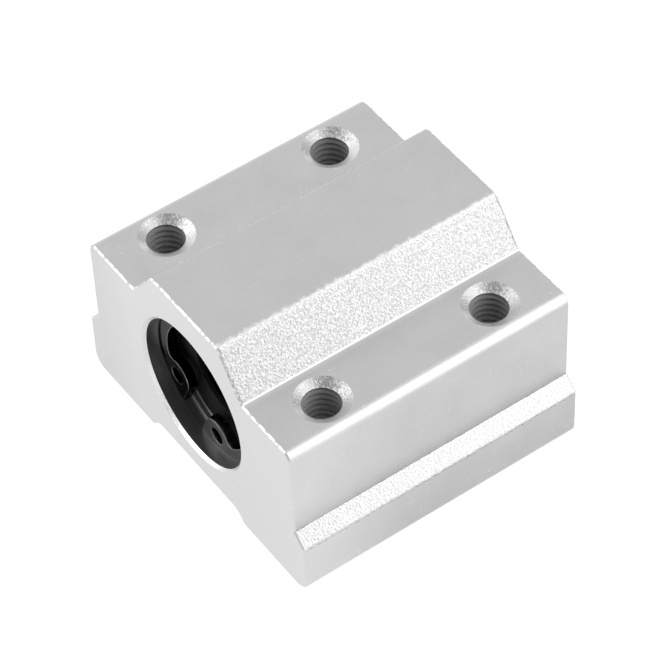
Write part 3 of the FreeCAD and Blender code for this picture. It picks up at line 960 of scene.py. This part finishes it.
class BEARING_OT_housing(bpy.types.Operator):
    """Dresses the housing, with a finish of its own for the bore, the countersinks and the tapped holes"""

    bl_idname = "bearing.housing"
    bl_label = "Housing"

    def execute(self, context):
        values = context.scene.bearing_housing
        piece = copy_of_node("housing", "extruded_housing")
        self.cut_threads(piece, values)
        finishes = (extruded_aluminium, reamed_aluminium, countersunk_aluminium, tapped_aluminium)
        settle(piece, "housing", *[finish(values) for finish in finishes])
        for face in piece.data.polygons:
            face.material_index = self.finish_of(face)
        smooth(piece)
        return {"FINISHED"}

    def cut_threads(self, piece, values):
        """Cuts a right-hand thread into the upper part of each fixing hole."""
        tap = self.make_tap(values)
        for across in (-HOLE_ACROSS, HOLE_ACROSS):
            for along in (-HOLE_ALONG, HOLE_ALONG):
                tap.location = (across, along, 0)
                bpy.context.view_layer.update()
                apply_modifier(piece, "BOOLEAN", object=tap, operation="DIFFERENCE", solver="EXACT")
        make_active(tap)
        bpy.ops.object.delete()
        edit_whole(piece)
        bpy.ops.mesh.remove_doubles(threshold=WELD)
        bpy.ops.mesh.dissolve_degenerate(threshold=WELD)
        end_edit()

    def make_tap(self, values):
        """A closed rod with the thread's outline: a grid rolled up along the helix and cut off square. The
        thread's crest is flat for an eighth of its pitch, and its flanks lean 30 degrees."""
        core_clearance = 0.04 * MM
        top_clearance = 0.2 * MM
        turns_below = 2
        spare_turns = 3
        pitch = values.thread_pitch
        crest = values.thread_diameter / 2
        root = HOLE_PLAN["hole_r_mm"] * MM - core_clearance
        half_flat = pitch / 8 / 2
        flank = (crest - root) * math.tan(math.radians(30))
        rows = (
            (crest, -half_flat),
            (crest, half_flat),
            (root, half_flat + flank),
            (root, pitch - half_flat - flank),
        )
        bottom = SHOULDER_HEIGHT - values.thread_depth
        top = SHOULDER_HEIGHT - top_clearance
        turns = math.ceil((top - bottom) / pitch) + spare_turns
        deselect_all()
        bpy.ops.mesh.primitive_grid_add(
            x_subdivisions=values.thread_sides,
            y_subdivisions=turns * len(rows),
            size=2.0,
        )
        tap = bpy.context.active_object
        for vertex in tap.data.vertices:
            round_part = (vertex.co.x + 1) / 2
            row = round((vertex.co.y + 1) / 2 * turns * len(rows))
            turn_number, place_in_turn = divmod(row, len(rows))
            radius, rise = rows[place_in_turn]
            angle = math.tau * round_part
            height = bottom + (turn_number - turns_below + round_part) * pitch + rise
            vertex.co = (radius * math.cos(angle), radius * math.sin(angle), height)
        edit_whole(tap)
        bpy.ops.mesh.remove_doubles(threshold=2 * WELD)
        for level, side in ((bottom, "clear_inner"), (top, "clear_outer")):
            bpy.ops.mesh.select_all(action="SELECT")
            bpy.ops.mesh.bisect(
                plane_co=(0, 0, level),
                plane_no=(0, 0, 1),
                threshold=WELD / 5,
                use_fill=True,
                **{side: True},
            )
        bpy.ops.mesh.select_all(action="SELECT")
        bpy.ops.mesh.normals_make_consistent(inside=False)
        end_edit()
        return tap

    def finish_of(self, face):
        """Which finish a face has, by its place and the way that it faces."""
        extruded, reamed, countersunk, tapped = range(4)
        bore_radius = 7.9 * MM
        bore_end = 14.95 * MM
        thread_radius = 2.05 * MM
        countersink_radius = 2.7 * MM
        least_lean, most_lean = 0.2, 0.98
        centre, normal = face.center, face.normal
        from_bore = math.hypot(centre.x, centre.z - SHAFT_HEIGHT)
        from_hole = math.hypot(abs(centre.x) - HOLE_ACROSS, abs(centre.y) - HOLE_ALONG)
        if from_bore < bore_radius and abs(centre.y) < bore_end:
            return countersunk if least_lean < abs(normal.y) < most_lean else reamed
        if from_hole < thread_radius and centre.z < COUNTERSINK_BOTTOM:
            return tapped
        if from_hole < countersink_radius and least_lean < normal.z < most_lean:
            return countersunk
        return extruded


class BEARING_OT_rings(bpy.types.Operator):
    """Dresses the two retaining rings and rounds their edges"""

    bl_idname = "bearing.rings"
    bl_label = "Retaining rings"

    def execute(self, context):
        values = context.scene.bearing_bushing
        steel = black_oxide_steel(values)
        for end in ("front", "rear"):
            piece = copy_of_node(f"{end}_retaining_ring", f"{end}_snap_ring")
            apply_modifier(
                piece,
                "BEVEL",
                width=values.ring_edge,
                segments=2,
                limit_method="ANGLE",
                angle_limit=math.radians(40),
            )
            self.mark_wear(piece)
            smooth(piece)
            settle(piece, f"{end}_retaining_ring", steel)
        return {"FINISHED"}

    def mark_wear(self, piece):
        """Keeps how worn each corner is, which is most on the rounded edges."""
        least_lean, most_lean = 0.1, 0.98
        wear = piece.data.attributes.new("edge_wear", "FLOAT", "CORNER")
        for face in piece.data.polygons:
            rounded = least_lean < abs(face.normal.y) < most_lean
            for corner in face.loop_indices:
                wear.data[corner].value = 1.0 if rounded else 0.0


class BEARING_OT_steel(bpy.types.Operator):
    """Dresses the bearing sleeve and its two end rings"""

    bl_idname = "bearing.steel"
    bl_label = "Sleeve and end rings"

    def execute(self, context):
        values = context.scene.bearing_bushing
        ground = ground_steel("ground_bearing_steel", values.steel_colour)
        shaded_ends = ground_steel("turned_steel_with_painted_shade", values.shaded_end_colour)
        sleeve = copy_of_node("bearing_sleeve", "ground_bearing_sleeve")
        settle(sleeve, "bearing_sleeve", ground, shaded_ends)
        # The sleeve's ends past the ground length, and the end rings, take the darker steel, which is painted
        # shade deep in the bore
        ground_slot, shaded_ends_slot = range(2)
        for face in sleeve.data.polygons:
            past_ground = abs(face.center.y) > values.sleeve_ground_to
            face.material_index = shaded_ends_slot if past_ground else ground_slot
        smooth(sleeve)
        for name in ("front_end_ring", "rear_end_ring"):
            ring = copy_of_node(name, f"pressed_{name}")
            smooth(ring)
            settle(ring, name, shaded_ends)
        return {"FINISHED"}


class BEARING_OT_cage(bpy.types.Operator):
    """Dresses the ball cage"""

    bl_idname = "bearing.cage"
    bl_label = "Ball cage"

    def execute(self, context):
        piece = copy_of_node("ball_cage", "moulded_ball_cage")
        smooth(piece)
        settle(piece, "ball_cage", moulded_resin(context.scene.bearing_bushing))
        return {"FINISHED"}


class BEARING_OT_seals(bpy.types.Operator):
    """Dresses the two seals"""

    bl_idname = "bearing.seals"
    bl_label = "Seals"

    def execute(self, context):
        rubber = seal_rubber(context.scene.bearing_bushing)
        for name in ("front_seal", "rear_seal"):
            piece = copy_of_node(name, f"rubber_{name}")
            smooth(piece)
            settle(piece, name, rubber)
        return {"FINISHED"}


class BEARING_OT_balls(bpy.types.Operator):
    """Puts a round ball in the place of each faceted one"""

    bl_idname = "bearing.balls"
    bl_label = "Balls"

    def execute(self, context):
        values = context.scene.bearing_bushing
        steel = polished_ball_steel(values)
        ball = self.make_ball(values)
        for name in BALL_NODES:
            balls = [self.copy_ball(ball, middle) for middle in self.middles_of(name)]
            deselect_all()
            for each in balls:
                each.select_set(True)
            bpy.context.view_layer.objects.active = balls[0]
            bpy.ops.object.join()
            bpy.ops.object.transform_apply(location=True, rotation=True, scale=True)
            piece = bpy.context.active_object
            piece.name = f"round_{name}"
            piece.data.name = piece.name
            settle(piece, name, steel)
        make_active(ball)
        bpy.ops.object.delete()
        return {"FINISHED"}

    def make_ball(self, values):
        deselect_all()
        bpy.ops.mesh.primitive_cube_add(size=values.ball_diameter)
        ball = bpy.context.active_object
        edit_whole(ball)
        bpy.ops.mesh.subdivide(number_cuts=values.ball_cuts)
        end_edit()
        apply_modifier(ball, "CAST", factor=1.0, size=values.ball_diameter / 2)
        bpy.ops.object.shade_smooth()
        return ball

    def middles_of(self, node_name):
        """The middle of each ball of a CAD node."""
        edit_whole(copy_of_node(node_name, "faceted_balls"))
        bpy.ops.mesh.separate(type="LOOSE")
        end_edit()
        middles = []
        for each in bpy.context.selected_objects:
            corners = [vertex.co for vertex in each.data.vertices]
            middles.append(sum(corners, Vector()) / len(corners))
        bpy.ops.object.delete()
        return middles

    def copy_ball(self, ball, middle):
        make_active(ball)
        bpy.ops.object.duplicate()
        copy = bpy.context.active_object
        copy.location = middle
        return copy


class BEARING_OT_stage(bpy.types.Operator):
    """Adds the floor, the lamps, the room's light and the camera"""

    bl_idname = "bearing.stage"
    bl_label = "Stage"

    def execute(self, context):
        scene = context.scene
        self.add_floor()
        self.add_room(scene)
        self.add_lamp(
            "left_front_softbox",
            direction=(-0.55, -0.76, 0.37),
            distance=0.3,
            size=(0.26, 0.18),
            radiance=1.6,
        )
        self.add_lamp(
            "right_back_softbox",
            direction=(0.60, 0.51, 0.62),
            distance=0.3,
            size=(0.30, 0.40),
            radiance=1.32,
        )
        self.add_camera(scene, scene.bearing_stage)
        scene.view_settings.view_transform = "Standard"
        return {"FINISHED"}

    def seen_directly(self, tree):
        """1 for what the camera sees itself or in metal and glass, and 0 for what lights the block."""
        rays = add_node(tree, "ShaderNodeLightPath")
        looks = rays.outputs["Is Camera Ray"]
        for ray in ("Is Glossy Ray", "Is Transmission Ray"):
            looks = add_node(tree, "ShaderNodeMath", {0: looks, 1: rays.outputs[ray]}, operation="MAXIMUM")
        return looks

    def add_floor(self):
        """White paper, which the camera and the metal see as a white background with the block's shadow."""
        deselect_all()
        bpy.ops.mesh.primitive_plane_add(size=3.0)
        floor = bpy.context.active_object
        floor.name = "studio_floor"
        material, tree = new_material("white_paper_floor")
        looks = self.seen_directly(tree)
        paper = add_node(tree, "ShaderNodeBsdfDiffuse", {"Color": linear_colour("#E7E7E7")})
        shade = add_node(tree, "ShaderNodeBsdfDiffuse", {"Color": linear_colour("#898989")})
        glow = add_node(tree, "ShaderNodeEmission", {"Strength": 0.9})
        white = add_node(tree, "ShaderNodeAddShader", {0: shade, 1: glow})
        mix = add_node(tree, "ShaderNodeMixShader", {0: looks, 1: paper, 2: white})
        add_node(tree, "ShaderNodeOutputMaterial", {"Surface": mix})
        material.cycles.emission_sampling = "NONE"
        floor.data.materials.append(material)

    def add_room(self, scene):
        """A pale room that is darker behind the camera, with a white backdrop low down for the camera and the
        metal."""
        behind_camera = Vector((0.60, -0.55, 0.62)).normalized()
        world = bpy.data.worlds.new("studio_room")
        scene.world = world
        world.use_nodes = True
        tree = world.node_tree
        tree.nodes.clear()
        direction = add_node(tree, "ShaderNodeTexCoord").outputs["Generated"]
        facing = add_node(
            tree,
            "ShaderNodeVectorMath",
            {0: direction, 1: behind_camera},
            operation="DOT_PRODUCT",
        )
        tone = add_node(
            tree,
            "ShaderNodeMapRange",
            {"Value": facing, "From Min": 0.5, "From Max": 0.95, "To Min": 0.84, "To Max": 0.2},
            interpolation_type="SMOOTHSTEP",
        )
        climb = add_node(tree, "ShaderNodeSeparateXYZ", {"Vector": direction}).outputs["Z"]
        white = add_node(
            tree,
            "ShaderNodeMapRange",
            {"Value": climb, "From Min": 0.12, "From Max": 0.3, "To Min": 1.0, "To Max": tone},
        )
        room = add_node(tree, "ShaderNodeBackground", {"Color": (1, 1, 1), "Strength": tone})
        backdrop = add_node(tree, "ShaderNodeBackground", {"Color": (1, 1, 1), "Strength": white})
        looks = self.seen_directly(tree)
        mix = add_node(tree, "ShaderNodeMixShader", {0: looks, 1: room, 2: backdrop})
        add_node(tree, "ShaderNodeOutputWorld", {"Surface": mix})

    def add_lamp(self, name, direction, distance, size, radiance):
        """A soft box that faces the block and looks as bright as a surface of that radiance."""
        deselect_all()
        toward = Vector(direction).normalized()
        middle = Vector((0, 0, SHAFT_HEIGHT))
        bpy.ops.object.light_add(type="AREA", location=middle + toward * distance)
        lamp = bpy.context.active_object
        lamp.name = name
        lamp.rotation_euler = toward.to_track_quat("Z", "Y").to_euler()
        lamp.data.shape = "RECTANGLE"
        lamp.data.size, lamp.data.size_y = size
        lamp.data.energy = radiance * math.pi * size[0] * size[1]

    def add_camera(self, scene, values):
        flat = math.cos(values.elevation)
        back = Vector((
            math.sin(values.azimuth) * flat,
            -math.cos(values.azimuth) * flat,
            math.sin(values.elevation),
        ))
        aim = Vector((0.948, -0.328, 10.154)) * MM
        deselect_all()
        bpy.ops.object.camera_add(location=aim + back * values.distance)
        camera = bpy.context.active_object
        camera.name = "photo_camera"
        turn = back.to_track_quat("Z", "Y").to_matrix().to_4x4() @ Matrix.Rotation(values.roll, 4, "Z")
        camera.rotation_euler = turn.to_euler()
        camera.data.lens = values.lens
        camera.data.sensor_width = 36.0
        camera.data.clip_start = 0.01
        scene.camera = camera


class BEARING_PT_sidebar(bpy.types.Panel):
    """Lists the steps that dress the bearing block"""

    bl_idname = "BEARING_PT_sidebar"
    bl_label = "Bearing Block"
    bl_space_type = "VIEW_3D"
    bl_region_type = "UI"
    bl_category = "Bearing Block"

    def draw(self, context):
        for step in STEPS:
            self.layout.operator(step.bl_idname)


STEPS = (
    BEARING_OT_housing,
    BEARING_OT_rings,
    BEARING_OT_steel,
    BEARING_OT_cage,
    BEARING_OT_seals,
    BEARING_OT_balls,
    BEARING_OT_stage,
)
VALUES = {
    "bearing_housing": BearingHousingValues,
    "bearing_bushing": BearingBushingValues,
    "bearing_stage": BearingStageValues,
}
CLASSES = (*VALUES.values(), *STEPS, BEARING_PT_sidebar)


def register():
    for item in CLASSES:
        bpy.utils.register_class(item)
    for name, group in VALUES.items():
        setattr(bpy.types.Scene, name, PointerProperty(type=group))


def unregister():
    for name in VALUES:
        delattr(bpy.types.Scene, name)
    for item in reversed(CLASSES):
        bpy.utils.unregister_class(item)


def main():
    register()
    bpy.ops.bearing.housing()
    bpy.ops.bearing.rings()
    bpy.ops.bearing.steel()
    bpy.ops.bearing.cage()
    bpy.ops.bearing.seals()
    bpy.ops.bearing.balls()
    bpy.ops.bearing.stage()


if __name__ == "__main__":
    main()
